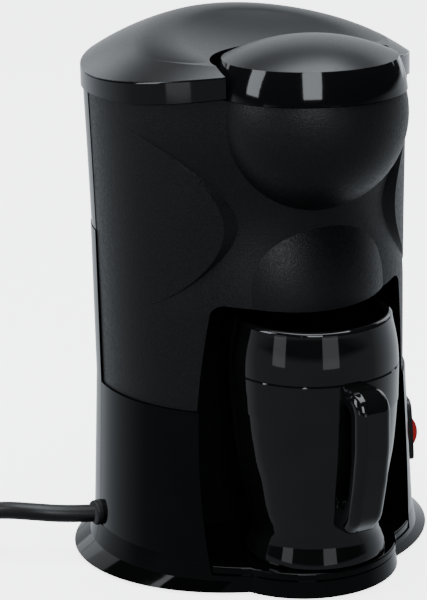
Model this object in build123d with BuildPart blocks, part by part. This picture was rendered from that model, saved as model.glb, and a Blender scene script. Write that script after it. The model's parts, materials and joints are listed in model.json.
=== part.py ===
from build123d import *
import math
import os

# One-mug drip coffee maker. Millimetres, +Z up, front towards -Y.
# The origin is the centre of the footprint of machine and mug, on the table.

# ---------------------------------------------------------------- driving dimensions
HANDLE_REACH = 107.3    # front of the mug's handle, from the body's axis
BASE_REACH = 76.7       # back of the flared base, from the body's axis
BODY_Y = (HANDLE_REACH - BASE_REACH) / 2
CUP_Y = BODY_Y - 56.0   # upright axis shared by mug, filter and round brew lid
PLINTH_Y = BODY_Y - 46.5
SEAM_Y = BODY_Y + 14.0  # plane where the front and rear shells meet

GAP = 0.3               # open line between two shells
WALL = 2.3              # shell thickness

WAIST_R = 69.3          # plain body radius at and below WAIST_Z
WAIST_Z = 100.0
TOP_R = 71.0            # body radius under the tank lid
LID_SEAM_Z = 213.8      # lower edge of the tank lid at sides and back
LID_RISE = 5.2          # how far that edge climbs towards the front
BOWL_RIM_Z = 217.6      # top of the ball-shaped filter bowl
BALL_R = 41.2           # filter bowl, outside
BALL_Z = 208.0
BODY_SEAM_Z = 81.4      # line between the matt front and the glossy lower housing
REAR_SEAM_Z = 151.6

DIP = 3.8               # how far the front is drawn in between the two side cheeks
DIP_LOW, DIP_MID, DIP_TOP = 122.0, 165.0, 208.0
CHEEK_Z, CHEEK_LONG, CHEEK_HIGH = 163.5, 55.6, 42.0

LOW_TOP_R = 70.3        # glossy lower housing at its upper edge
LOW_FOOT_R = 73.6       # and just above the flare
FLARE_Z, CREASE_Z, EDGE_Z = 15.0, 6.2, 1.2
PLATE_Z = 2.0           # underside of the base plate, on its rubber feet

BAY_FLOOR_Z = 12.6      # surface that the mug stands on
BAY_HALF = 53.4         # half width inside the mug bay
BAY_BACK = 9.0          # back of the bay, in front of the body's axis
BAY_TOP_Z = 133.0
PLINTH_TOP_Z = 8.6
PLINTH_R = 41.5

MUG_LIP_Z = 121.3
DOME_Z, DOME_ACROSS, DOME_ALONG = 246.5, 118.0, 158.0
SADDLE_Z, SADDLE_RISE = 231.0, 29.0
LID_R = 72.2
TANK_HINGE = (BODY_Y + 71.0, 214.0)   # Y and Z of the tank lid's hinge line
BREW_HINGE = (CUP_Y + 37.4, 229.0)    # Y and Z of the brew lid's hinge line
PIN_R = 1.2
PIN_FIT = 0.06

CORD_D = 8.0

BODY_AXIS = Axis((0, BODY_Y, 0), (0, 0, 1))
CUP_AXIS = Axis((0, CUP_Y, 0), (0, 0, 1))
BODY_SIDE = Plane(origin=(0, BODY_Y, 0), x_dir=(1, 0, 0), z_dir=(0, -1, 0))
CUP_PLINTH_SIDE = Plane(origin=(0, PLINTH_Y, 0), x_dir=(1, 0, 0), z_dir=(0, -1, 0))
CUP_SIDE = Plane(origin=(0, CUP_Y, 0), x_dir=(1, 0, 0), z_dir=(0, -1, 0))

os.makedirs("parts", exist_ok=True)


def save(piece, label):
    """Label a finished piece and write it as its own file."""
    piece.label = label
    export_step(piece, f"parts/{label}.step")


# ---------------------------------------------------------------- shared shapes
def core_radius(z):
    """Radius of the plain body at height z."""
    if z <= WAIST_Z:
        return WAIST_R
    climb = (z - WAIST_Z) / (LID_SEAM_Z - WAIST_Z)
    return WAIST_R + (TOP_R - WAIST_R) * climb**2


def plain_core(inset, low, high):
    """The plain round body, drawn in by inset, between two heights."""
    middle = (low + high) / 2
    with BuildPart() as core:
        with BuildSketch(BODY_SIDE):
            with BuildLine():
                arc = ThreePointArc(
                    (core_radius(low) - inset, low),
                    (core_radius(middle) - inset, middle),
                    (core_radius(high) - inset, high),
                )
                Polyline(arc @ 1, (0, high), (0, low), arc @ 0)
            make_face()
        revolve(axis=BODY_AXIS)
    return core.part


def waisted_core(inset, low, high):
    """The body with its front drawn in to a soft waist between DIP_LOW and DIP_TOP."""
    with BuildPart() as core:
        with BuildSketch(BODY_SIDE):
            with BuildLine():
                foot = (core_radius(low) - inset, low)
                start = (core_radius(DIP_LOW) - inset, DIP_LOW)
                waist = (core_radius(DIP_MID) - DIP - inset, DIP_MID)
                end = (core_radius(DIP_TOP) - inset, DIP_TOP)
                head = (core_radius(high) - inset, high)
                Line(foot, start)
                Spline(start, waist, end, tangents=[(0, 1), (0.02, 1)])
                Polyline(end, head, (0, high), (0, low), foot)
            make_face()
        revolve(axis=BODY_AXIS)
    return core.part


def above_lid_seam(offset):
    """Everything above the tank lid's seam, which climbs towards the front."""
    z = LID_SEAM_Z + offset
    with BuildPart() as region:
        with BuildSketch(Plane.YZ):
            with BuildLine():
                Line((BODY_Y + 95, z), (BODY_Y - 12, z))
                rise = TangentArc((BODY_Y - 12, z), (BODY_Y - 60, z + LID_RISE), tangent=(-1, 0))
                Polyline(rise @ 1, (BODY_Y - 60, 300), (BODY_Y + 95, 300), (BODY_Y + 95, z))
            make_face()
        extrude(amount=95, both=True)
    return region.part


def barrel(axis_y, axis_z, facing, along_r, across_r, half_width, depth, half_turn):
    """A block with one doubly curved face: an arc across X turned about a line along X.

    facing is the turn, in degrees from straight up, at which the middle of the face looks.
    """
    start = math.radians(facing + half_turn)
    edge = along_r - (across_r - math.sqrt(across_r**2 - half_width**2))
    sketch_plane = Plane(
        origin=(0, axis_y, axis_z),
        x_dir=(1, 0, 0),
        z_dir=(0, -math.cos(start), math.sin(start)),
    )
    with BuildPart() as block:
        with BuildSketch(sketch_plane):
            with BuildLine():
                ThreePointArc((-half_width, edge), (0, along_r), (half_width, edge))
                Polyline(
                    (half_width, edge),
                    (half_width, along_r - depth),
                    (-half_width, along_r - depth),
                    (-half_width, edge),
                )
            make_face()
        revolve(axis=Axis((0, axis_y, axis_z), (1, 0, 0)), revolution_arc=2 * half_turn)
    return block.part


def upright(x, y, radius, low, high):
    """A plain upright cylinder between two heights."""
    with BuildPart() as post:
        with BuildSketch(Plane.XY.offset(low)):
            with Locations((x, y)):
                Circle(radius)
        extrude(amount=high - low)
    return post.part


def block(x, y, low, size_x, size_y, size_z):
    """A box centred on x and y that stands on height low."""
    with BuildPart() as box:
        with BuildSketch(Plane.XY.offset(low)):
            with Locations((x, y)):
                Rectangle(size_x, size_y)
        extrude(amount=size_z)
    return box.part


def cross_rod(y, z, radius, low_x, high_x):
    """A cylinder along X between two X values."""
    with BuildPart() as rod:
        with BuildSketch(Plane.YZ.offset(low_x)):
            with Locations((y, z)):
                Circle(radius)
        extrude(amount=high_x - low_x)
    return rod.part


def hose(points, radii, outer, inner):
    """A round tube, or a solid rod when inner is 0, along filleted straight runs."""
    with BuildPart() as tube:
        with BuildLine():
            path = FilletPolyline(*points, radius=radii)
        with BuildSketch(Plane(origin=path @ 0, z_dir=path % 0)):
            Circle(outer)
            if inner:
                Circle(inner, mode=Mode.SUBTRACT)
        sweep()
    return tube.part


def bay_opening():
    """The arched opening of the mug bay, cut through the front of both housings."""
    with BuildPart() as cutter:
        with BuildSketch(Plane.XZ.offset(-(BODY_Y - 30))) as outline:
            with BuildLine():
                foot = 51.2
                shoulder = 46.6
                top = 130.2
                ThreePointArc((-foot, PLINTH_TOP_Z), (-53.0, 55), (-shoulder, top))
                ThreePointArc((-shoulder, top), (0, 126.3), (shoulder, top))
                ThreePointArc((shoulder, top), (53.0, 55), (foot, PLINTH_TOP_Z))
                Line((foot, PLINTH_TOP_Z), (-foot, PLINTH_TOP_Z))
            make_face()
            fillet(outline.vertices().group_by(Axis.Y)[-1], radius=5.0)
        extrude(amount=90)
    return cutter.part


# ---------------------------------------------------------------- front housing, matt
with BuildPart() as cheeks:
    add(plain_core(0, BODY_SEAM_Z + GAP, 216))
    with BuildSketch(Plane.YZ):
        with Locations((BODY_Y, CHEEK_Z)):
            Ellipse(CHEEK_LONG, CHEEK_HIGH)
    extrude(amount=100, both=True, mode=Mode.INTERSECT)

with BuildPart() as bowl_outside:
    with Locations((0, CUP_Y, BALL_Z)):
        Sphere(BALL_R)

with BuildPart() as bowl_inside:
    with Locations((0, CUP_Y, BALL_Z)):
        Sphere(BALL_R - WALL)

brow = barrel(BODY_Y - 74.5 + 67, 128, -90, 67, 46, 34, 22, 34)

with BuildPart() as front_housing:
    add(waisted_core(0, BODY_SEAM_Z + GAP, 224))
    add(cheeks.part)
    add(brow)
    add(bowl_outside.part)
    add(waisted_core(WALL, BODY_SEAM_Z - 1, 226), mode=Mode.SUBTRACT)
    add(bowl_inside.part, mode=Mode.SUBTRACT)
    add(above_lid_seam(-GAP), mode=Mode.SUBTRACT)
    add(upright(0, CUP_Y, BALL_R + 1.2, BOWL_RIM_Z, 260), mode=Mode.SUBTRACT)
    add(bay_opening(), mode=Mode.SUBTRACT)
    split(bisect_by=Plane.XZ.offset(-(SEAM_Y - GAP / 2)), keep=Keep.TOP)
save(front_housing.part, "front_housing")


# ---------------------------------------------------------------- lower housing and base, glossy
def base_shape(inset):
    """The tapered lower body with its flared foot and the round plinth in front."""
    with BuildPart() as base:
        with BuildSketch(BODY_SIDE):
            with BuildLine():
                Polyline(
                    (LOW_FOOT_R - inset, FLARE_Z),
                    (LOW_TOP_R - inset, BODY_SEAM_Z),
                    (0, BODY_SEAM_Z),
                    (0, FLARE_Z),
                    close=True,
                )
            make_face()
        revolve(axis=BODY_AXIS)
        with BuildSketch(Plane.XY.offset(FLARE_Z)):
            with Locations((0, BODY_Y)):
                Circle(LOW_FOOT_R - inset)
        with BuildSketch(Plane.XY.offset(CREASE_Z)):
            with Locations((0, BODY_Y + 0.5)):
                Ellipse(76.4 - inset, 73.9 - inset)
        loft(ruled=True)
        with BuildSketch(Plane.XY.offset(CREASE_Z)):
            with Locations((0, BODY_Y + 0.5)):
                Ellipse(76.4 - inset, 73.9 - inset)
        with BuildSketch(Plane.XY.offset(EDGE_Z)):
            with Locations((0, BODY_Y + 2.5)):
                Ellipse(84.1 - inset, BASE_REACH - 2.5 - inset)
        loft(ruled=True)
        with BuildSketch(CUP_PLINTH_SIDE):
            with BuildLine():
                Polyline(
                    (0, EDGE_Z),
                    (PLINTH_R - inset, EDGE_Z),
                    (PLINTH_R - 0.9 - inset, PLINTH_TOP_Z - inset),
                    (0, PLINTH_TOP_Z - inset),
                    close=True,
                )
            make_face()
        revolve(axis=Axis((0, PLINTH_Y, 0), (0, 0, 1)))
    return base.part

bay_floor = block(0, BODY_Y - 40, PLINTH_TOP_Z - 2, 2 * BAY_HALF + 3.2, 2 * (40 - BAY_BACK + 1.6), 2)

SWITCH_TURN = 70        # degrees from the front, towards +X
SWITCH_Z = 45.0
SWITCH_FACE_R = 71.4    # flat seat of the bezel
SWITCH_LEAN = (LOW_FOOT_R - LOW_TOP_R) / (BODY_SEAM_Z - FLARE_Z)
switch_out = (math.sin(math.radians(SWITCH_TURN)), -math.cos(math.radians(SWITCH_TURN)))
switch_along = (math.cos(math.radians(SWITCH_TURN)), math.sin(math.radians(SWITCH_TURN)))


def switch_plane(radius):
    """A plane facing out of the housing at the switch: local x runs round it, y runs up."""
    return Plane(
        origin=(switch_out[0] * radius, BODY_Y + switch_out[1] * radius, SWITCH_Z),
        x_dir=(switch_along[0], switch_along[1], 0),
        z_dir=(switch_out[0], switch_out[1], SWITCH_LEAN),
    )


GROMMET_Z = 19.5
CORD_EXIT_X = -75.5
with BuildPart() as cord_hole:
    with BuildSketch(Plane.YZ.offset(-60)):
        with Locations((SEAM_Y, GROMMET_Z)):
            Circle(4.9)
    extrude(amount=-30)

with BuildPart() as lower_housing:
    add(base_shape(0))
    add(base_shape(WALL) - bay_floor, mode=Mode.SUBTRACT)
    with BuildSketch(Plane.XY.offset(BODY_SEAM_Z - 3)):
        with Locations((0, BODY_Y)):
            Circle(LOW_TOP_R - WALL)
    extrude(amount=4, mode=Mode.SUBTRACT)
    add(bay_opening(), mode=Mode.SUBTRACT)
    with BuildSketch(switch_plane(60)):
        Rectangle(12.4, 27.0)
    extrude(amount=20, mode=Mode.SUBTRACT)
    with BuildSketch(switch_plane(SWITCH_FACE_R)):
        RectangleRounded(14.6, 29.8, 1.4)
    extrude(amount=5, mode=Mode.SUBTRACT)
    with BuildSketch(Plane.XY.offset(PLATE_Z + 2)):
        with Locations((-31, BODY_Y - 34), (31, BODY_Y - 34)):
            Circle(4)
            Circle(1.5, mode=Mode.SUBTRACT)
    extrude(until=Until.NEXT)
    add(cord_hole.part, mode=Mode.SUBTRACT)
    split(bisect_by=Plane.XZ.offset(-(SEAM_Y - GAP / 2)), keep=Keep.TOP)
save(lower_housing.part, "lower_housing")


# ---------------------------------------------------------------- drip tray
with BuildPart() as drip_tray:
    with BuildSketch(Plane.XY.offset(PLINTH_TOP_Z + 0.9)) as tray_outline:
        with Locations((0, BODY_Y)):
            Circle(LOW_FOOT_R + 0.2)
        with Locations((0, PLINTH_Y)):
            Circle(PLINTH_R - 0.5)
        with Locations((0, BODY_Y - 55)):
            RectangleRounded(101.4, 88, 14, mode=Mode.INTERSECT)
    extrude(amount=BAY_FLOOR_Z - PLINTH_TOP_Z - 0.9)
    fillet(drip_tray.faces().sort_by(Axis.Z)[-1].edges(), radius=0.8)
    with BuildSketch(Plane.XY.offset(PLINTH_TOP_Z)):
        offset(tray_outline.sketch, amount=-1.2)
    extrude(amount=0.9)
    with BuildSketch(Plane.XY.offset(BAY_FLOOR_Z - 0.7)):
        with Locations((0, CUP_Y)):
            Circle(36.4)
            Circle(35.2, mode=Mode.SUBTRACT)
        with Locations((-44.5, BODY_Y - 36), (44.5, BODY_Y - 36)):
            with GridLocations(2.6, 0, 4, 1):
                Rectangle(1.0, 34)
    extrude(amount=2, mode=Mode.SUBTRACT)
    with BuildSketch(Plane.XY.offset(PLINTH_TOP_Z)):
        offset(tray_outline.sketch, amount=-3.2)
    extrude(amount=1.6, mode=Mode.SUBTRACT)
save(drip_tray.part, "drip_tray")

# ---------------------------------------------------------------- rear covers, glossy
with BuildPart() as rear_cover_lower:
    add(base_shape(0))
    with BuildSketch(BODY_SIDE):
        with BuildLine():
            Polyline(
                (LOW_TOP_R, BODY_SEAM_Z),
                (LOW_TOP_R, REAR_SEAM_Z - 0.2),
                (0, REAR_SEAM_Z - 0.2),
                (0, BODY_SEAM_Z),
                close=True,
            )
        make_face()
    revolve(axis=BODY_AXIS)
    add(base_shape(WALL), mode=Mode.SUBTRACT)
    with BuildSketch(Plane.XY.offset(BODY_SEAM_Z - 3)):
        with Locations((0, BODY_Y)):
            Circle(LOW_TOP_R - WALL)
    extrude(amount=80, mode=Mode.SUBTRACT)
    with BuildSketch(Plane.XY.offset(PLATE_Z + 2)):
        with Locations((-54, BODY_Y + 42), (54, BODY_Y + 42)):
            Circle(4)
            Circle(1.5, mode=Mode.SUBTRACT)
    extrude(amount=12)
    with BuildSketch(Plane.XZ.offset(-(BODY_Y + 40))):
        with Locations((0, 38)):
            with GridLocations(0, 6, 1, 5):
                SlotOverall(34, 2.4)
    extrude(amount=-60, mode=Mode.SUBTRACT)
    add(cord_hole.part, mode=Mode.SUBTRACT)
    split(bisect_by=Plane.XZ.offset(-(SEAM_Y + GAP / 2)), keep=Keep.BOTTOM)
save(rear_cover_lower.part, "rear_cover_lower")

with BuildPart() as rear_cover_upper:
    add(plain_core(-0.3, REAR_SEAM_Z + 0.2, 213.4))
    with BuildSketch(Plane.YZ.offset(-14)):
        with Locations(TANK_HINGE):
            Circle(3.2)
    extrude(amount=28)
    add(plain_core(WALL - 0.3, REAR_SEAM_Z - 1, 214), mode=Mode.SUBTRACT)
    add(cross_rod(*TANK_HINGE, 3.6, -8.3, 8.3), mode=Mode.SUBTRACT)
    add(cross_rod(*TANK_HINGE, PIN_R, -20, 20), mode=Mode.SUBTRACT)
    split(bisect_by=Plane.XZ.offset(-(SEAM_Y + GAP / 2)), keep=Keep.BOTTOM)
save(rear_cover_upper.part, "rear_cover_upper")

# ---------------------------------------------------------------- mug bay
with BuildPart() as bay_liner:
    with BuildSketch(Plane.XY.offset(PLINTH_TOP_Z)) as bay_plan:
        with Locations((0, BODY_Y - BAY_BACK - 40)):
            Rectangle(2 * BAY_HALF + 3.2, 80 + 3.2)
        fillet(bay_plan.vertices().group_by(Axis.Y)[-1], radius=16)
    extrude(amount=BAY_TOP_Z + 1.6 - PLINTH_TOP_Z)
    with BuildSketch(Plane.XY.offset(PLINTH_TOP_Z)) as bay_space:
        with Locations((0, BODY_Y - BAY_BACK - 40)):
            Rectangle(2 * BAY_HALF, 80)
        fillet(bay_space.vertices().group_by(Axis.Y)[-1], radius=14.4)
    extrude(amount=BAY_TOP_Z - PLINTH_TOP_Z, mode=Mode.SUBTRACT)
    with BuildSketch(Plane.XY.offset(BAY_TOP_Z - 1)):
        with Locations((0, CUP_Y)):
            Circle(6.4)
    extrude(amount=4, mode=Mode.SUBTRACT)
    add(base_shape(WALL + 0.3) + waisted_core(WALL + 0.3, BODY_SEAM_Z, 220), mode=Mode.INTERSECT)
save(bay_liner.part, "bay_liner")

# ---------------------------------------------------------------- mug with its handle
MUG_BASE_Z = BAY_FLOOR_Z + 0.3
MUG_PROFILE = [(28.6, 23.5), (29.8, 32), (32, 45), (35, 64), (36.5, 83), (37, 98)]
MUG_SHOULDER = [(36.9, 99), (36.7, 104), (34.8, 116), (34.2, MUG_LIP_Z - 2)]

# handle outline, from its upper root round the outside and back: reach from the mug's axis,
# height, corner radius
GRIP_START = (34.8, 97.4)
GRIP = [
    (51.5, 97.8, 10),
    (51.3, 72, 40),
    (48.8, 56, 40),
    (44.5, 38.5, 14),
    (38.5, 31.8, 5),
]
GRIP_FOOT = (28.4, 31.0)
GRIP_HEEL = (29.6, 41.8)
GRIP_INSIDE = [
    (35.0, 42.2, 4),
    (39.8, 50, 12),
    (42.4, 66, 40),
    (42.6, 90.0, 4.5),
]
GRIP_END = (34.8, 90.4)


def rounded_run(start, corners, end):
    """A polyline from start to end, seen from +X, with each corner rounded to its radius."""
    points = [start] + [corner[:2] for corner in corners] + [end]
    return FilletPolyline(
        *[(CUP_Y - reach, z) for reach, z in points],
        radius=[corner[2] for corner in corners],
    )


with BuildPart() as grip:
    with BuildSketch(Plane.YZ):
        with BuildLine():
            outside = rounded_run(GRIP_START, GRIP, GRIP_FOOT)
            inside = rounded_run(GRIP_HEEL, GRIP_INSIDE, GRIP_END)
            Line(outside @ 1, inside @ 0)
            Line(inside @ 1, outside @ 0)
        make_face()
    extrude(amount=8.2, both=True)
    for side in (-8.2, 8.2):
        fillet(grip.edges().sort_by_distance((side, CUP_Y - 51.3, 80))[0], radius=4.2)
        fillet(grip.edges().sort_by_distance((side, CUP_Y - 42.5, 78))[0], radius=2.0)

with BuildPart() as mug:
    with BuildSketch(CUP_SIDE):
        with BuildLine():
            foot = Polyline((0, MUG_BASE_Z), (30.0, MUG_BASE_Z), (30.9, 13.8), (30.9, 14.6))
            neck = Spline(foot @ 1, *MUG_PROFILE, tangents=[(-0.15, 1), (0.02, 1)])
            groove = Polyline(neck @ 1, (36.6, 98.5), MUG_SHOULDER[0])
            shoulder = Spline(*MUG_SHOULDER, tangents=[(0, 1), (-0.1, 1)])
            lip = ThreePointArc(shoulder @ 1, (32.2, MUG_LIP_Z), (30.4, MUG_LIP_Z - 2.2))
            inside = Spline(lip @ 1, (34.0, 100), (32.4, 64), (29.2, 42), (26.2, 26),
                            tangents=[(0.3, -1), (-0.3, -1)])
            bowl = Spline(inside @ 1, (20, 17.8), (0, 16.6), tangents=[inside % 1, (-1, 0)])
            Line(bowl @ 1, foot @ 0)
        make_face()
    revolve(axis=CUP_AXIS)
    add(grip.part)
save(mug.part, "mug")

# ---------------------------------------------------------------- tank lid
def dome(lowered):
    """The lid's doubly curved top surface with everything well below it."""
    return barrel(BODY_Y - 2, DOME_Z - DOME_ALONG, 0, DOME_ALONG - lowered, DOME_ACROSS, 74, 64, 40)


def saddle(lowered):
    """Everything above the dished slope that leads down from the dome to the round lid."""
    near, far = 41.0, 112.0
    low = SADDLE_Z - lowered
    with BuildPart() as slope:
        with BuildSketch(CUP_SIDE):
            with BuildLine():
                rise = TangentArc((near, low), (far, low + SADDLE_RISE), tangent=(1, 0.2))
                Polyline(rise @ 1, (far, 300), (0, 300), (0, low), (near, low))
            make_face()
        revolve(axis=CUP_AXIS)
    return slope.part


with BuildPart() as tank_lid:
    add(upright(0, BODY_Y, LID_R, 205, 260))
    add(dome(0), mode=Mode.INTERSECT)
    fillet(tank_lid.faces().filter_by(GeomType.CYLINDER).edges().group_by(Axis.Z)[-1], radius=1.0)
    add(saddle(0), mode=Mode.SUBTRACT)
    crease = tank_lid.edges().filter_by(lambda edge: abs(edge.center().X) < 1 and edge.length > 150)
    fillet(crease.group_by(Axis.Z)[-1], radius=30)
    add((upright(0, BODY_Y, LID_R - 2.2, 200, 260) & dome(2.2)) - saddle(2.2), mode=Mode.SUBTRACT)
    add((upright(0, CUP_Y, 44, 205, 260) & upright(0, BODY_Y, LID_R - 1.1, 205, 260) & dome(1.1)) - saddle(1.1))
    add(upright(0, CUP_Y, 41.8, 200, 260), mode=Mode.SUBTRACT)
    add(above_lid_seam(0), mode=Mode.INTERSECT)
    for side in (-1, 1):
        add(cross_rod(*TANK_HINGE, 3.6, side * 11.15 - 3.15, side * 11.15 + 3.15), mode=Mode.SUBTRACT)
    add(cross_rod(*TANK_HINGE, 3.2, -8, 8))
    add(cross_rod(*TANK_HINGE, PIN_R + PIN_FIT, -20, 20), mode=Mode.SUBTRACT)
save(tank_lid.part, "tank_lid")

tank_lid_pin = cross_rod(*TANK_HINGE, PIN_R, -14, 14)
save(tank_lid_pin, "tank_lid_pin")

# ---------------------------------------------------------------- round brew lid
CROWN_Z, CROWN_R = 240.3, 83.9


def crown_z(radius, inset):
    """Height of the lid's spherical top, or of its underside, at a distance from the axis."""
    return CROWN_Z - CROWN_R + math.sqrt((CROWN_R - inset)**2 - radius**2)


with BuildPart() as brew_lid:
    with BuildSketch(CUP_SIDE):
        with BuildLine():
            band = ThreePointArc((40.7, 218.0), (39.4, 225.0), (37.0, crown_z(37.0, 0)))
            top = ThreePointArc(band @ 1, (19.2, crown_z(19.2, 0)), (0, crown_z(0, 0)))
            Line(top @ 1, (0, crown_z(0, 2.2)))
            under = ThreePointArc(
                (0, crown_z(0, 2.2)), (18.4, crown_z(18.4, 2.2)), (34.8, crown_z(34.8, 2.2))
            )
            inner = ThreePointArc(under @ 1, (37.2, 224.4), (38.4, 218.0))
            Line(inner @ 1, band @ 0)
        make_face()
    revolve(axis=CUP_AXIS)
    add(cross_rod(*BREW_HINGE, 2.6, -5, 5))
    for side in (-1, 1):
        add(cross_rod(*BREW_HINGE, 3.1, side * 7.4 - 2.4, side * 7.4 + 2.4), mode=Mode.SUBTRACT)
        add(block(side * 7.4, CUP_Y + 39, 215, 4.8, 9.2, 14), mode=Mode.SUBTRACT)
    add(cross_rod(*BREW_HINGE, PIN_R + PIN_FIT, -20, 20), mode=Mode.SUBTRACT)
save(brew_lid.part, "brew_lid")

brew_lid_pin = cross_rod(*BREW_HINGE, PIN_R, -9.5, 9.5)
save(brew_lid_pin, "brew_lid_pin")

with BuildPart() as spray_plate:
    with BuildSketch(Plane.XY.offset(226)):
        with Locations((0, CUP_Y)):
            Circle(22)
            with PolarLocations(14, 8):
                Circle(1.2, mode=Mode.SUBTRACT)
            with PolarLocations(7, 5):
                Circle(1.2, mode=Mode.SUBTRACT)
    extrude(amount=1.8)
    with BuildSketch(Plane.XY.offset(227)):
        with Locations((0, CUP_Y)):
            with PolarLocations(19, 3):
                Circle(1.8)
    extrude(amount=9.2)
save(spray_plate.part, "spray_plate")

# ---------------------------------------------------------------- inner deck under both lids
DECK_Z = 206.2
TANK_FRONT = 2.0        # front wall of the tank, behind the body's axis

with BuildPart() as inner_deck:
    with BuildSketch(Plane.XY.offset(DECK_Z)):
        with Locations((0, BODY_Y)):
            Circle(67.2)
        with Locations((0, CUP_Y)):
            Circle(35.4, mode=Mode.SUBTRACT)
        with Locations((0, BODY_Y - 62)):
            Rectangle(90, 60, mode=Mode.SUBTRACT)
        with Locations((0, BODY_Y + 33)):
            RectangleRounded(78, 40, 8, mode=Mode.SUBTRACT)
    extrude(amount=2)
    with BuildSketch(Plane.XY.offset(DECK_Z)):
        with Locations((0, CUP_Y)):
            Circle(38.2)
            Circle(32.9, mode=Mode.SUBTRACT)
    extrude(amount=7.6)
    for side in (-1, 1):
        add(block(side * 7.4, CUP_Y + 37.4, DECK_Z, 4.2, 5.0, BREW_HINGE[1] - DECK_Z))
        add(cross_rod(*BREW_HINGE, 2.5, side * 7.4 - 2.1, side * 7.4 + 2.1))
    add(cross_rod(*BREW_HINGE, PIN_R, -20, 20), mode=Mode.SUBTRACT)
save(inner_deck.part, "inner_deck")

# ---------------------------------------------------------------- water tank
TANK_LOW, TANK_WALL = 100.0, 1.8


def tank_plan(inset):
    """D-shaped plan of the tank: the round back and a straight front."""
    with BuildSketch() as plan:
        with Locations((0, BODY_Y)):
            Circle(63.2 - inset)
        with Locations((0, BODY_Y + TANK_FRONT + inset + 40)):
            Rectangle(140, 80, mode=Mode.INTERSECT)
        fillet(plan.vertices(), radius=5.0 - inset)
    return plan.sketch


with BuildPart() as water_tank:
    with BuildSketch(Plane.XY.offset(TANK_LOW)):
        add(tank_plan(0))
    extrude(amount=DECK_Z - TANK_LOW)
    with BuildSketch(Plane.XY.offset(TANK_LOW + TANK_WALL)):
        add(tank_plan(TANK_WALL))
    extrude(amount=DECK_Z - TANK_LOW, mode=Mode.SUBTRACT)
    with BuildSketch(Plane.XY.offset(TANK_LOW - 8)):
        with Locations((-46, BODY_Y + 22)):
            Circle(3.4)
    extrude(amount=9)
    with BuildSketch(Plane.XY.offset(TANK_LOW - 9)):
        with Locations((-46, BODY_Y + 22)):
            Circle(2.2)
    extrude(amount=14, mode=Mode.SUBTRACT)
save(water_tank.part, "water_tank")

# ---------------------------------------------------------------- filter basket, mesh and spout
with BuildPart() as filter_basket:
    with BuildSketch(CUP_SIDE):
        with BuildLine():
            Polyline(
                (0, 178.0),
                (22.2, 178.0),
                (31.4, 214.0),
                (34.8, 214.0),
                (34.8, 216.0),
                (29.8, 216.0),
                (20.8, 179.8),
                (0, 179.8),
                close=True,
            )
        make_face()
    revolve(axis=CUP_AXIS)
    with BuildSketch(Plane.XY.offset(173)):
        with Locations((0, CUP_Y)):
            Circle(4.6)
    extrude(amount=5.5)
    with Locations((0, CUP_Y, 176)):
        Cylinder(3.0, 12, mode=Mode.SUBTRACT)
save(filter_basket.part, "filter_basket")

with BuildPart() as mesh_filter:
    with BuildSketch(CUP_SIDE):
        with BuildLine():
            Polyline(
                (0, 184.0),
                (20.6, 184.0),
                (28.2, 215.2),
                (27.4, 215.2),
                (19.9, 184.8),
                (0, 184.8),
                close=True,
            )
        make_face()
    revolve(axis=CUP_AXIS)
    with BuildSketch(Plane.XY.offset(216.1)):
        with Locations((0, CUP_Y)):
            Circle(31.0)
            Circle(26.6, mode=Mode.SUBTRACT)
    extrude(amount=1.2)
    with BuildSketch(Plane.XY.offset(214.6)):
        with Locations((0, CUP_Y)):
            Circle(28.0)
            Circle(26.6, mode=Mode.SUBTRACT)
    extrude(amount=1.6)
save(mesh_filter.part, "mesh_filter")

with BuildPart() as drip_spout:
    with BuildSketch(CUP_SIDE):
        with BuildLine():
            Polyline(
                (3.2, 129.6),
                (5.0, 129.6),
                (6.0, 134.0),
                (6.0, 164.0),
                (7.2, 175.0),
                (5.6, 175.0),
                (4.2, 164.0),
                (4.2, 134.0),
                close=True,
            )
        make_face()
    revolve(axis=CUP_AXIS)
save(drip_spout.part, "drip_spout")

# ---------------------------------------------------------------- water path and heater
HEATER_Y = BODY_Y + 26

with BuildPart() as heater_block:
    with BuildSketch(Plane.XY.offset(30)):
        with Locations((0, HEATER_Y)):
            RectangleRounded(64, 38, 6)
    extrude(amount=16)
    fillet(heater_block.edges().group_by(Axis.Z)[-1], radius=1.5)
save(heater_block.part, "heater_block")

with BuildPart() as heater_bracket:
    with BuildSketch(Plane.XZ.offset(-HEATER_Y)):
        with BuildLine():
            Polyline(
                (-40, PLATE_Z + 2), (-28, PLATE_Z + 2), (-28, 28.4), (28, 28.4), (28, PLATE_Z + 2),
                (40, PLATE_Z + 2), (40, PLATE_Z + 3.6), (29.6, PLATE_Z + 3.6), (29.6, 30),
                (-29.6, 30), (-29.6, PLATE_Z + 3.6), (-40, PLATE_Z + 3.6),
                close=True,
            )
        make_face()
    extrude(amount=9, both=True)
save(heater_bracket.part, "heater_bracket")

heating_element = hose(
    [(-22, HEATER_Y - 24, 49.1), (-22, HEATER_Y + 14, 49.1), (22, HEATER_Y + 14, 49.1), (22, HEATER_Y - 24, 49.1)],
    [10, 10],
    3.1,
    0,
)
save(heating_element, "heating_element")

with BuildPart() as thermostat:
    with BuildSketch(Plane.XY.offset(46)):
        with Locations((0, HEATER_Y + 2)):
            Circle(8)
    extrude(amount=7)
    with BuildSketch(Plane.XY.offset(53)):
        with Locations((-4, HEATER_Y + 2), (4, HEATER_Y + 2)):
            Rectangle(0.8, 5)
    extrude(amount=7)
save(thermostat.part, "thermostat")

thermal_fuse = cross_rod(HEATER_Y - 12, 48.2, 2.2, -10, 10)
save(thermal_fuse, "thermal_fuse")

VALVE = (-46, BODY_Y + 22)
with BuildPart() as check_valve:
    with BuildSketch(Plane.XY.offset(66)):
        with Locations(VALVE):
            Circle(3.4)
    extrude(amount=26)
    with BuildSketch(Plane.XY.offset(72)):
        with Locations(VALVE):
            Circle(6.5)
    extrude(amount=13)
    with BuildSketch(Plane.XY.offset(65)):
        with Locations(VALVE):
            Circle(2.2)
    extrude(amount=30, mode=Mode.SUBTRACT)
save(check_valve.part, "check_valve")

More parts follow.
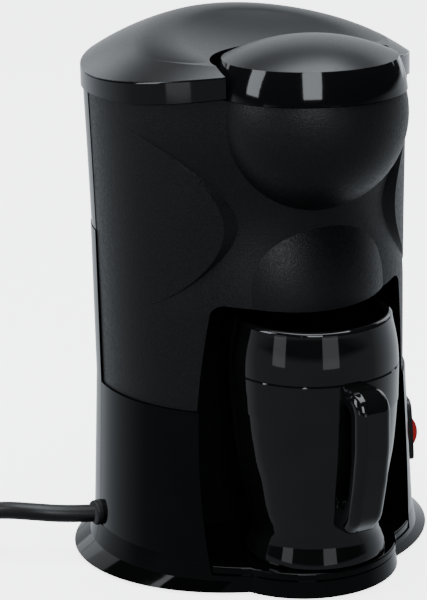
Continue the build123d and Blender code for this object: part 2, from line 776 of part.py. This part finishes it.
cold_hose = hose(
    [(*VALVE, 66), (*VALVE, 38), (-32, VALVE[1], 38)],
    [8],
    3.8,
    2.2,
)
save(cold_hose, "cold_hose")

riser_pipe = hose(
    [(32, BODY_Y + 14, 38), (44, BODY_Y + 14, 38), (44, BODY_Y - 2.6, 38), (44, BODY_Y - 2.6, DECK_Z)],
    [5, 7],
    3.2,
    2.0,
)
save(riser_pipe, "riser_pipe")

for number, height in enumerate((64, 53), start=1):
    with BuildPart() as hose_clamp:
        with BuildSketch(Plane.XY.offset(height - 5)):
            with Locations(VALVE):
                Circle(5.0)
                Circle(3.85, mode=Mode.SUBTRACT)
        extrude(amount=5)
    save(hose_clamp.part, f"hose_clamp_{number}")

# ---------------------------------------------------------------- base plate, feet and screws
SCREWS = [(-31, BODY_Y - 34), (31, BODY_Y - 34), (-54, BODY_Y + 42), (54, BODY_Y + 42)]
FEET = [(-22, BODY_Y - 68), (22, BODY_Y - 68), (-48, BODY_Y + 50), (48, BODY_Y + 50)]
FOOT_R = 6.5

with BuildPart() as base_plate:
    with BuildSketch(Plane.XY.offset(PLATE_Z)):
        with Locations((0, BODY_Y + 1.5)):
            Ellipse(76.6, 70.6)
        with Locations((0, PLINTH_Y)):
            Circle(PLINTH_R - WALL - 0.7)
        with Locations(*SCREWS):
            Circle(1.5, mode=Mode.SUBTRACT)
        with Locations(*FEET):
            Circle(2.4, mode=Mode.SUBTRACT)
    extrude(amount=2)
save(base_plate.part, "base_plate")

for number, spot in enumerate(FEET, start=1):
    with BuildPart() as rubber_foot:
        with BuildSketch(Plane.XY):
            with Locations(spot):
                Circle(FOOT_R)
        extrude(amount=PLATE_Z)
        fillet(rubber_foot.edges().group_by(Axis.Z)[0], radius=0.5)
        with BuildSketch(Plane.XY.offset(PLATE_Z)):
            with Locations(spot):
                Circle(2.35)
        extrude(amount=2.6)
    save(rubber_foot.part, f"rubber_foot_{number}")

for number, spot in enumerate(SCREWS, start=1):
    with BuildPart() as base_screw:
        with BuildSketch(Plane.XY.offset(PLATE_Z - 1.2)):
            with Locations(spot):
                Circle(3.2)
                Rectangle(4.4, 0.8, mode=Mode.SUBTRACT)
                Rectangle(0.8, 4.4, mode=Mode.SUBTRACT)
        extrude(amount=0.7)
        with BuildSketch(Plane.XY.offset(PLATE_Z - 0.5)):
            with Locations(spot):
                Circle(3.2)
        extrude(amount=0.5)
        with BuildSketch(Plane.XY.offset(PLATE_Z)):
            with Locations(spot):
                Circle(1.45)
        extrude(amount=4.4)
    save(base_screw.part, f"base_screw_{number}")

# ---------------------------------------------------------------- switch
ROCKER_TILT = 8         # degrees, off position
ROCKER_TRAVEL = 16

with BuildPart() as switch_body:
    with BuildSketch(switch_plane(SWITCH_FACE_R)):
        RectangleRounded(14.2, 29.4, 4.4)
        RectangleRounded(9.6, 18.6, 0.8, mode=Mode.SUBTRACT)
    extrude(amount=3.0)
    with BuildSketch(switch_plane(SWITCH_FACE_R - 10.5)):
        Rectangle(12.0, 26.6)
    extrude(amount=10.5)
    with BuildSketch(switch_plane(SWITCH_FACE_R - 8.5)):
        Rectangle(9.6, 18.6)
    extrude(amount=9, mode=Mode.SUBTRACT)
save(switch_body.part, "switch_body")

# seen along the rocker's axle: local x runs outwards, y runs up
rocker_side = Plane(
    origin=switch_plane(SWITCH_FACE_R).origin,
    x_dir=(switch_out[0], switch_out[1], SWITCH_LEAN),
    z_dir=(-switch_along[0], -switch_along[1], 0),
)
with BuildPart() as switch_rocker:
    with BuildSketch(rocker_side):
        with BuildLine():
            crown = ThreePointArc((2.6, -8.2), (5.6, 0), (1.6, 7.8))
            Polyline(crown @ 1, (-3.0, 6.6), (-3.0, -6.6), crown @ 0)
        make_face()
    extrude(amount=4.4, both=True)
    with BuildSketch(rocker_side):
        Circle(1.4)
    extrude(amount=4.75, both=True)
save(switch_rocker.part, "switch_rocker")

for number, side in enumerate((-1, 1), start=1):
    with BuildPart() as switch_terminal:
        with BuildSketch(switch_plane(SWITCH_FACE_R - 12.0)):
            with Locations((0, side * 8)):
                Rectangle(3.2, 0.8)
        extrude(amount=1.4)
    save(switch_terminal.part, f"switch_terminal_{number}")

# ---------------------------------------------------------------- inner leads
LEAD_R = 1.2
LEADS = {
    "lead_live": [
        (56.6, BODY_Y - 17.5, 53.4), (57.8, BODY_Y - 4, 55), (50, BODY_Y + 14, 59), (24, HEATER_Y + 4, 61.5),
        (4.5, HEATER_Y + 2, 61.2),
    ],
    "lead_heater": [
        (56.6, BODY_Y - 17.5, 37), (57.8, BODY_Y - 5, 41), (53, BODY_Y + 4, 50), (40, BODY_Y + 4.5, 53),
        (24, BODY_Y + 3.5, 53.6),
    ],
}
for name, route in LEADS.items():
    lead = hose(route, [6] * (len(route) - 2), LEAD_R, 0)
    save(lead, name)

# ---------------------------------------------------------------- cord, coil and plug
with BuildPart() as cord_grommet:
    with BuildSketch(Plane.YZ.offset(CORD_EXIT_X)):
        with Locations((SEAM_Y, GROMMET_Z)):
            Circle(5.7)
    extrude(amount=6)
    fillet(cord_grommet.edges().group_by(Axis.X)[0], radius=1.2)
    add(base_shape(0), mode=Mode.SUBTRACT)
    with BuildSketch(Plane.YZ.offset(-74)):
        with Locations((SEAM_Y, GROMMET_Z)):
            Circle(4.7)
    extrude(amount=6)
    with BuildSketch(Plane.YZ.offset(-68.2)):
        with Locations((SEAM_Y, GROMMET_Z)):
            Circle(5.8)
    extrude(amount=2.2)
save(cord_grommet.part, "cord_grommet")

# straight out of the grommet, down in one sweep and round to where the coil takes it up
CORD_ROUTE = [
    (CORD_EXIT_X, SEAM_Y, GROMMET_Z),
    (-88.1, SEAM_Y + 3.1, 20.6),
    (-100.0, SEAM_Y + 9.5, 22.0),
    (-110.4, SEAM_Y + 18.9, 22.0),
    (-119.2, SEAM_Y + 31.0, 18.8),
    (-128.2, SEAM_Y + 45.4, 12.8),
    (-137.2, SEAM_Y + 59.8, 7.2),
    (-146.1, SEAM_Y + 73.1, 4.4),
    (-155.1, SEAM_Y + 85.1, 4.0),
]
COIL_TURN = 44.0        # mean radius of the coil's turns
COIL_CENTRE = (CORD_ROUTE[-1][0] - 0.8 * (COIL_TURN + CORD_D / 2),
               CORD_ROUTE[-1][1] - 0.6 * (COIL_TURN + CORD_D / 2))


def corner_radii(points):
    """The largest tangent arc that each corner of a free cord has room for."""
    places = [Vector(point) for point in points]
    radii = []
    for before, corner, after in zip(places, places[1:], places[2:]):
        coming, going = corner - before, after - corner
        half_turn = math.radians(coming.get_angle(going)) / 2
        radii.append(0.45 * min(coming.length, going.length) / math.tan(half_turn))
    return radii


cord_radii = corner_radii(CORD_ROUTE)
with BuildPart() as power_cord:
    with BuildLine() as cord_line:
        cord_path = FilletPolyline(*CORD_ROUTE, radius=cord_radii)
    with BuildSketch(Plane(origin=cord_path @ 0, z_dir=cord_path % 0)):
        Circle(CORD_D / 2)
    sweep()
save(power_cord.part, "power_cord")
print("cord radii", [round(radius, 1) for radius in cord_radii], "length", round(cord_path.length, 1))
print("volume over section times length",
      round(power_cord.part.volume / (cord_path.length * math.pi * CORD_D**2 / 4), 4))

with BuildPart() as cord_coil:
    with BuildSketch(Plane.XY):
        with Locations(COIL_CENTRE):
            Circle(COIL_TURN + CORD_D)
            Circle(COIL_TURN - CORD_D, mode=Mode.SUBTRACT)
    extrude(amount=2 * CORD_D)
    fillet(cord_coil.edges(), radius=3.5)
save(cord_coil.part, "cord_coil")

# the far end leaves the coil's upper outer turn and ends in a plug for a vehicle's socket
TAIL_TURN = math.radians(200)
tail_heading = Vector(-math.sin(TAIL_TURN), math.cos(TAIL_TURN), 0)
tail_start = Vector(
    COIL_CENTRE[0] + (COIL_TURN + CORD_D / 2) * math.cos(TAIL_TURN),
    COIL_CENTRE[1] + (COIL_TURN + CORD_D / 2) * math.sin(TAIL_TURN),
    1.5 * CORD_D,
)
PLUG_R = 10.5
PLUG_Z = PLUG_R + 0.2
TAIL_LENGTH = 30
tail_end = tail_start + tail_heading * TAIL_LENGTH
tail_end = Vector(tail_end.X, tail_end.Y, PLUG_Z)
with BuildPart() as cord_tail:
    with BuildLine():
        tail_path = Line(tail_start, tail_end)
    with BuildSketch(Plane(origin=tail_start, z_dir=tail_end - tail_start)):
        Circle(CORD_D / 2)
    sweep()
save(cord_tail.part, "cord_tail")

# drawn along the plug: local x across it, local y from its cord end to its tip
plug_side = Plane(origin=tail_end, x_dir=(tail_heading.Y, -tail_heading.X, 0), z_dir=(0, 0, 1))
plug_axis = Axis(tail_end, tail_heading)


def turned(profile):
    """A turned piece of the plug from its half outline: distance from the axis, place along it."""
    with BuildPart() as piece:
        with BuildSketch(plug_side):
            with BuildLine():
                Polyline(*profile, close=True)
            make_face()
        revolve(axis=plug_axis)
    return piece.part


plug_relief = turned([(0, 0), (4.4, 0), (7.0, 20), (0, 20)])
save(plug_relief, "plug_relief")

plug_body = turned([(0, 20), (9.0, 20), (PLUG_R, 23), (PLUG_R, 34), (9.8, 38), (9.8, 62), (8.6, 66), (0, 66)])
save(plug_body, "plug_body")

plug_tip = turned([(0, 66), (4.4, 66), (4.4, 70), (3.0, 74), (0, 75)])
save(plug_tip, "plug_tip")

for number, side in enumerate((-1, 1), start=1):
    with BuildPart() as plug_contact:
        with BuildSketch(plug_side):
            with Locations((side * 10.1, 51)):
                Rectangle(0.8, 14)
        extrude(amount=2, both=True)
    save(plug_contact.part, f"plug_contact_{number}")
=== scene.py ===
import json
import math

import bpy
from mathutils import Matrix, Vector


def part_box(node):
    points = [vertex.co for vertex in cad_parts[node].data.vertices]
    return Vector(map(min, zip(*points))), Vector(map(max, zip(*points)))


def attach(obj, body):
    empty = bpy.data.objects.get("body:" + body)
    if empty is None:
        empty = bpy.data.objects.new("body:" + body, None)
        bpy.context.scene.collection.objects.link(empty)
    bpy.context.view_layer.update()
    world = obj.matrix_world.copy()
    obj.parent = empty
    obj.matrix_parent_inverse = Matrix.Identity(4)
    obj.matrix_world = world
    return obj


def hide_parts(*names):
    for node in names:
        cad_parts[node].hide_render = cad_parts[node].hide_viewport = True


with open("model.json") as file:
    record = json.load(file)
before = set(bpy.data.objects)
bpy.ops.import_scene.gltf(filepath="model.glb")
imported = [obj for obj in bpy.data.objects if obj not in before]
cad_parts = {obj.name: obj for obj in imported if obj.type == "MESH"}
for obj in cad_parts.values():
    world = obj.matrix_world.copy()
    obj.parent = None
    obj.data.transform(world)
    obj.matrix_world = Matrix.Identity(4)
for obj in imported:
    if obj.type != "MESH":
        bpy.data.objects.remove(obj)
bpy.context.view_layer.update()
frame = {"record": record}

# ---------------------------------------------------------------- places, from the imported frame
MM = 0.001
grommet_low, grommet_high = (Vector(corner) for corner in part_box("cord_grommet"))
SEAM_Y = (grommet_low.y + grommet_high.y) / 2      # where front and rear housings meet
BODY_Y = SEAM_Y - 14 * MM                          # the body's upright axis

# ---------------------------------------------------------------- camera
VIEW_TURN = math.radians(-29.05)      # from straight in front, towards -X
VIEW_TILT = math.radians(16.67)
VIEW_ROLL = math.radians(-1.4)
VIEW_DISTANCE = 0.996
FOCAL_MM = 131.9
AIM_RIGHT, AIM_UP = -16.2 * MM, 2.1 * MM

TARGET_Z = 0.110
target = Vector((0, BODY_Y, TARGET_Z))
back = Vector((
    math.sin(VIEW_TURN) * math.cos(VIEW_TILT),
    -math.cos(VIEW_TURN) * math.cos(VIEW_TILT),
    math.sin(VIEW_TILT),
))
right = Vector((math.cos(VIEW_TURN), math.sin(VIEW_TURN), 0))
aim = target + right * AIM_RIGHT + Vector((0, 0, AIM_UP))
camera_place = target + back * VIEW_DISTANCE
look = (camera_place - aim).normalized()
across = Vector((0, 0, 1)).cross(look).normalized()
upward = look.cross(across)
camera_data = bpy.data.cameras.new("camera")
camera = bpy.data.objects.new("camera", camera_data)
bpy.context.scene.collection.objects.link(camera)
camera_data.lens = FOCAL_MM
camera_data.sensor_width = 36
camera_data.clip_end = 20
camera.matrix_world = (
    Matrix.Translation(camera_place)
    @ Matrix((across, upward, look)).transposed().to_4x4()
    @ Matrix.Rotation(VIEW_ROLL, 4, "Z")
)
bpy.context.scene.camera = camera


# ---------------------------------------------------------------- materials
def new_material(name, color, roughness, metallic=0.0, **sockets):
    """A principled material; further sockets are given by name with _ for a space."""
    material = bpy.data.materials.new(name)
    material.use_nodes = True
    shader = material.node_tree.nodes["Principled BSDF"]
    shader.inputs["Base Color"].default_value = (*color, 1)
    shader.inputs["Roughness"].default_value = roughness
    shader.inputs["Metallic"].default_value = metallic
    for socket, value in sockets.items():
        shader.inputs[socket.replace("_", " ")].default_value = value
    return material


def noise_node(material, scale, detail=2.0, stretch=(1, 1, 1)):
    """Noise over the object's own coordinates."""
    tree = material.node_tree
    place = tree.nodes.new("ShaderNodeTexCoord")
    mapping = tree.nodes.new("ShaderNodeMapping")
    mapping.inputs["Scale"].default_value = stretch
    noise = tree.nodes.new("ShaderNodeTexNoise")
    noise.inputs["Scale"].default_value = scale
    noise.inputs["Detail"].default_value = detail
    tree.links.new(place.outputs["Object"], mapping.inputs["Vector"])
    tree.links.new(mapping.outputs["Vector"], noise.inputs["Vector"])
    return noise


def add_bump(material, scale, strength, depth, detail=2.0, stretch=(1, 1, 1)):
    """Fine relief from noise; depth is its height in metres."""
    tree = material.node_tree
    noise = noise_node(material, scale, detail, stretch)
    bump = tree.nodes.new("ShaderNodeBump")
    bump.inputs["Strength"].default_value = strength
    bump.inputs["Distance"].default_value = depth
    tree.links.new(noise.outputs["Fac"], bump.inputs["Height"])
    tree.links.new(bump.outputs["Normal"], tree.nodes["Principled BSDF"].inputs["Normal"])


def vary(material, socket, scale, low, high, stretch=(1, 1, 1)):
    """Let noise move a value between low and high over the surface."""
    tree = material.node_tree
    noise = noise_node(material, scale, 3.0, stretch)
    spread = tree.nodes.new("ShaderNodeMapRange")
    spread.inputs["From Min"].default_value = 0.3
    spread.inputs["From Max"].default_value = 0.7
    spread.inputs["To Min"].default_value = low
    spread.inputs["To Max"].default_value = high
    tree.links.new(noise.outputs["Fac"], spread.inputs["Value"])
    tree.links.new(spread.outputs["Result"], tree.nodes["Principled BSDF"].inputs[socket])


def vary_color(material, scale, dark, light, stretch=(1, 1, 1)):
    """Let noise move the base colour between two close tones."""
    tree = material.node_tree
    noise = noise_node(material, scale, 3.0, stretch)
    ramp = tree.nodes.new("ShaderNodeValToRGB")
    ramp.color_ramp.elements[0].position = 0.35
    ramp.color_ramp.elements[0].color = (*dark, 1)
    ramp.color_ramp.elements[1].position = 0.65
    ramp.color_ramp.elements[1].color = (*light, 1)
    tree.links.new(noise.outputs["Fac"], ramp.inputs["Fac"])
    tree.links.new(ramp.outputs["Color"], tree.nodes["Principled BSDF"].inputs["Base Color"])


def matt_plastic():
    """Black moulding with a fine spark-eroded grain."""
    material = new_material("matt_housing", (0.006, 0.006, 0.0065), 0.42, Specular_IOR_Level=0.25)
    vary_color(material, 900, (0.0045, 0.0045, 0.005), (0.0075, 0.0075, 0.0082))
    vary(material, "Roughness", 700, 0.36, 0.50)
    add_bump(material, 1400, 0.55, 0.00025, 3.0)
    return material


def gloss_plastic(name, tone, rough_low, rough_high, specular):
    """Polished black moulding with faint waviness and handling marks."""
    material = new_material(name, (tone, tone, tone * 1.03), rough_low, Specular_IOR_Level=specular)
    vary_color(material, 55, (tone * 0.9,) * 3, (tone * 1.15,) * 3)
    vary(material, "Roughness", 130, rough_low, rough_high)
    add_bump(material, 45, 0.03, 0.0004, 1.0)
    return material


def lid_plastic():
    """Polished rim and finely satined top: the finish follows which way the surface faces."""
    material = new_material("lid_plastic", (0.004, 0.004, 0.0044), 0.12, Specular_IOR_Level=0.4)
    tree = material.node_tree
    shader = tree.nodes["Principled BSDF"]
    facing = tree.nodes.new("ShaderNodeNewGeometry")
    parts = tree.nodes.new("ShaderNodeSeparateXYZ")
    step = tree.nodes.new("ShaderNodeMapRange")
    step.inputs["From Min"].default_value = 0.55
    step.inputs["From Max"].default_value = 0.75
    step.inputs["To Min"].default_value = 0.0
    step.inputs["To Max"].default_value = 1.0
    tree.links.new(facing.outputs["True Normal"], parts.inputs["Vector"])
    tree.links.new(parts.outputs["Z"], step.inputs["Value"])
    noise = noise_node(material, 1200, 2.0)
    rough = tree.nodes.new("ShaderNodeMapRange")
    rough.inputs["From Min"].default_value = 0.3
    rough.inputs["From Max"].default_value = 0.7
    rough.inputs["To Min"].default_value = 0.28
    rough.inputs["To Max"].default_value = 0.36
    tree.links.new(noise.outputs["Fac"], rough.inputs["Value"])
    blend = tree.nodes.new("ShaderNodeMix")
    blend.data_type = "FLOAT"
    blend.inputs[2].default_value = 0.07
    tree.links.new(step.outputs["Result"], blend.inputs[0])
    tree.links.new(rough.outputs["Result"], blend.inputs[3])
    tree.links.new(blend.outputs[0], shader.inputs["Roughness"])
    return material


def rubber(name, tone, roughness=0.55):
    """Soft rubber or cord sheath with a dusty tone and a fine skin."""
    material = new_material(name, (tone,) * 3, roughness, Specular_IOR_Level=0.4)
    vary_color(material, 300, (tone * 0.85,) * 3, (tone * 1.2,) * 3)
    add_bump(material, 2200, 0.35, 0.0001)
    return material


def brushed_metal(name, color, stretch=(1, 1, 12)):
    """Bare metal, brushed along the direction that stretch squeezes."""
    material = new_material(name, color, 0.3, metallic=1.0)
    vary(material, "Roughness", 400, 0.2, 0.42, stretch)
    add_bump(material, 600, 0.15, 0.0001, 2.0, stretch)
    return material


def plain_plastic(name, color, low, high):
    """Plain moulded plastic with roughness between low and high."""
    material = new_material(name, color, low)
    darker = tuple(channel * 0.9 for channel in color)
    lighter = tuple(min(1.0, channel * 1.08) for channel in color)
    vary_color(material, 200, darker, lighter)
    vary(material, "Roughness", 500, low, high)
    add_bump(material, 1500, 0.2, 0.0001)
    return material


def clear_tank():
    """Milky clear plastic of the water tank."""
    material = new_material("tank_clear", (0.75, 0.76, 0.75), 0.3, Transmission_Weight=0.7, IOR=1.49)
    vary(material, "Roughness", 300, 0.25, 0.4)
    return material


MATERIALS = {
    "matt_housing": matt_plastic(),
    "gloss_housing": gloss_plastic("gloss_housing", 0.002, 0.05, 0.09, 0.16),
    "mug_gloss": gloss_plastic("mug_gloss", 0.0045, 0.03, 0.06, 0.5),
    "black_inner": plain_plastic("black_inner", (0.003, 0.003, 0.0032), 0.35, 0.45),
    "tank_clear": clear_tank(),
    "steel_small": brushed_metal("steel_small", (0.62, 0.62, 0.61)),
    "heater_metal": brushed_metal("heater_metal", (0.7, 0.7, 0.69), (1, 1, 1)),
    "terminal_brass": brushed_metal("terminal_brass", (0.75, 0.6, 0.3), (1, 1, 1)),
    "hose_rubber": rubber("hose_rubber", 0.55, 0.4),
    "fuse_ceramic": plain_plastic("fuse_ceramic", (0.8, 0.79, 0.75), 0.35, 0.5),
    "rubber": rubber("rubber", 0.006),
    "switch_red": plain_plastic("switch_red", (0.55, 0.012, 0.01), 0.18, 0.28),
    "lead_white": plain_plastic("lead_white", (0.75, 0.74, 0.7), 0.4, 0.5),
    "cord_black": rubber("cord_black", 0.006, 0.38),
}
node_slots = {item["node"]: item["material_slot"] for item in frame["record"]["subparts"]}
for node, slot in node_slots.items():
    piece = bpy.data.objects[node]
    piece.data.materials.clear()
    piece.data.materials.append(MATERIALS[slot])
satin_topped = lid_plastic()
for node in ("tank_lid", "brew_lid"):
    lid_mesh = bpy.data.objects[node].data
    lid_mesh.materials.clear()
    lid_mesh.materials.append(satin_topped)

# ---------------------------------------------------------------- cord with its put-away coil
CORD_D = 8 * MM
# x, y from the seam, z, in millimetres
CORD_ROUTE = [
    (-75.5, 0.0, 19.5),
    (-88.1, 3.1, 20.6),
    (-100.0, 9.5, 22.0),
    (-110.4, 18.9, 22.0),
    (-119.2, 31.0, 18.8),
    (-128.2, 45.4, 12.8),
    (-137.2, 59.8, 7.2),
    (-146.1, 73.1, 4.4),
    (-155.1, 85.1, 4.0),
]
COIL_TURN = 44.0
OUTER, INNER = COIL_TURN + 4.0, COIL_TURN - 4.0
LOWER, UPPER = 4.0, 12.0
ENTRY = (0.8, 0.6)                    # from the coil's centre to where the cord meets it
START_TURN = math.atan2(ENTRY[1], ENTRY[0])
LEAVE_TURN = math.radians(200)
TOTAL_TURN = 3 * 360 + math.degrees(LEAVE_TURN - START_TURN)
# turned so far in degrees, radius, height: the winding steps in, up and out again
WINDING = [
    (0, OUTER, LOWER),
    (300, OUTER, LOWER),
    (360, INNER, LOWER),
    (620, INNER, LOWER),
    (680, INNER, UPPER),
    (940, INNER, UPPER),
    (1000, OUTER, UPPER),
    (TOTAL_TURN, OUTER, UPPER),
]
STEP = 15
TAIL_LENGTH, TAIL_END_Z = 30, 10.7


def winding_at(turned):
    """Radius and height of the winding after turning so many degrees."""
    for (start, radius, height), (end, next_radius, next_height) in zip(WINDING, WINDING[1:]):
        if turned <= end:
            share = (turned - start) / (end - start)
            share = share * share * (3 - 2 * share)
            return radius + (next_radius - radius) * share, height + (next_height - height) * share
    return OUTER, UPPER


def cord_points():
    """The whole route in metres: the free stretch, the coil's turns and the tail."""
    points = [Vector((x, y, z)) * MM + Vector((0, SEAM_Y, 0)) for x, y, z in CORD_ROUTE]
    entry = points[-1]
    centre = entry - Vector((*ENTRY, 0)) * OUTER * MM
    steps = math.floor(TOTAL_TURN / STEP)
    # the spline cuts inside its control points, so they stand a little outside the turns
    bulge = 2 / (1 + math.cos(math.radians(STEP)))
    for index in range(1, steps + 1):
        radius, height = winding_at(index * STEP)
        angle = START_TURN + math.radians(index * STEP)
        reach = radius * bulge * MM
        points.append(Vector((
            centre.x + reach * math.cos(angle),
            centre.y + reach * math.sin(angle),
            height * MM,
        )))
    heading = Vector((-math.sin(LEAVE_TURN), math.cos(LEAVE_TURN), 0))
    start = Vector((
        centre.x + OUTER * MM * math.cos(LEAVE_TURN),
        centre.y + OUTER * MM * math.sin(LEAVE_TURN),
        UPPER * MM,
    ))
    end = start + heading * TAIL_LENGTH * MM
    end.z = TAIL_END_Z * MM
    points += [start.lerp(end, 0.25), start.lerp(end, 0.6), end]
    return points


def make_cord():
    """The whole cord as one smooth curve, with the plug as the piece on its end."""
    curve = bpy.data.curves.new("cord", "CURVE")
    curve.dimensions = "3D"
    curve.bevel_depth = CORD_D / 2
    curve.bevel_resolution = 6
    curve.resolution_u = 8
    curve.use_fill_caps = True
    spline = curve.splines.new("NURBS")
    points = cord_points()
    spline.points.add(len(points) - 1)
    for slot, place in zip(spline.points, points):
        slot.co = (*place, 1)
    spline.order_u = 3
    spline.use_endpoint_u = True
    piece = bpy.data.objects.new("cord", curve)
    bpy.context.scene.collection.objects.link(piece)
    curve.materials.append(MATERIALS["cord_black"])
    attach(piece, "machine")
    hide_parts("power_cord", "cord_coil", "cord_tail")
    plug = [bpy.data.objects[name] for name in
            ("plug_relief", "plug_body", "plug_tip", "plug_contact_1", "plug_contact_2")]
    # the polished housing is not to mirror the put-away coil
    for hidden in (piece, *plug):
        hidden.visible_glossy = False


make_cord()

# ---------------------------------------------------------------- floor, backdrop and lights
def add_floor(size, height):
    """A square pale sheet under the machine, left out of reflections and bounced light."""
    half = size / 2
    mesh = bpy.data.meshes.new("floor")
    corners = [(-half, -half, 0), (half, -half, 0), (half, half, 0), (-half, half, 0)]
    mesh.from_pydata(corners, [], [(0, 1, 2, 3)])
    sheet = bpy.data.objects.new("floor", mesh)
    bpy.context.scene.collection.objects.link(sheet)
    sheet.location.z = height
    mesh.materials.append(new_material(
        "floor", (0.95, 0.95, 0.95), 0.9,
        Specular_IOR_Level=0.0, Emission_Color=(1, 1, 1, 1), Emission_Strength=3.5,
    ))
    sheet.visible_glossy = False
    sheet.visible_diffuse = False


add_floor(12, -0.0002)


def softbox(name, place, aim_at, width, height, power):
    """A rectangular soft light that faces a point."""
    light = bpy.data.lights.new(name, "AREA")
    light.shape = "RECTANGLE"
    light.size = width
    light.size_y = height
    light.energy = power
    light.color = (0.9, 0.95, 1)
    lamp = bpy.data.objects.new(name, light)
    bpy.context.scene.collection.objects.link(lamp)
    lamp.visible_camera = False
    lamp.location = place
    lamp.rotation_euler = (Vector(aim_at) - Vector(place)).to_track_quat("-Z", "Y").to_euler()
    return lamp


def view_place(turn, distance, height):
    """A place at a bearing from the camera's own, in degrees towards +X, and a height."""
    angle = VIEW_TURN + math.radians(turn)
    return Vector((math.sin(angle) * distance, BODY_Y - math.cos(angle) * distance, height))


middle = (0, BODY_Y, 0.12)
# name, bearing from the camera, distance, height, then the box's width, height and power
SOFTBOXES = [
    ("high_left", -71, 1.2, 0.72, 0.42, 0.8, 6.5),
    ("high_front", 2, 1.3, 0.75, 0.52, 0.7, 8),
    ("low_left", -45, 1.1, 0.13, 0.34, 0.24, 0.3),
    ("low_right", 22, 1.1, 0.13, 0.40, 0.24, 0.35),
    ("top", 0, 0, 1.7, 1.6, 1.6, 50),
    ("back_wall", 180, 1.9, 0.75, 3.2, 1.5, 15),
    ("back_left", -140, 1.7, 0.9, 0.9, 0.9, 4),
    ("back_right", 140, 1.7, 0.9, 0.9, 0.9, 4),
]
for name, turn, distance, height, *box in SOFTBOXES:
    softbox(name, view_place(turn, distance, height), middle, *box)

# the room: white to the camera, dim to all it lights, and bright only low down behind the machine
world = bpy.data.worlds.new("world")
world.use_nodes = True
room = world.node_tree


def room_node(kind, **values):
    """A node of the room, with its input values by name."""
    node = room.nodes.new(kind)
    for socket, value in values.items():
        node.inputs[socket.replace("_", " ")].default_value = value
    return node


seen = room.nodes["Background"]
seen.inputs["Color"].default_value = (1, 1, 1, 1)
dim = room_node("ShaderNodeBackground", Color=(0.86, 0.93, 1, 1))
direction = room_node("ShaderNodeTexCoord")
heights = room_node("ShaderNodeSeparateXYZ")
behind = room_node("ShaderNodeVectorMath")
behind.operation = "DOT_PRODUCT"
behind.inputs[1].default_value = (-math.sin(VIEW_TURN), math.cos(VIEW_TURN), 0)
low_level = room_node("ShaderNodeMapRange", From_Min=-0.1, From_Max=0.7, To_Min=0.3, To_Max=1.0)
level = room_node("ShaderNodeMapRange", From_Min=-0.03, From_Max=0.03, To_Max=0.03)
rays = room_node("ShaderNodeLightPath")
choice = room_node("ShaderNodeMixShader")
room.links.new(direction.outputs["Generated"], heights.inputs["Vector"])
room.links.new(direction.outputs["Generated"], behind.inputs[0])
room.links.new(behind.outputs["Value"], low_level.inputs["Value"])
room.links.new(heights.outputs["Z"], level.inputs["Value"])
room.links.new(low_level.outputs["Result"], level.inputs["To Min"])
room.links.new(level.outputs["Result"], dim.inputs["Strength"])
room.links.new(rays.outputs["Is Camera Ray"], choice.inputs["Fac"])
room.links.new(dim.outputs["Background"], choice.inputs[1])
room.links.new(seen.outputs["Background"], choice.inputs[2])
room.links.new(choice.outputs["Shader"], room.nodes["World Output"].inputs["Surface"])
bpy.context.scene.world = world
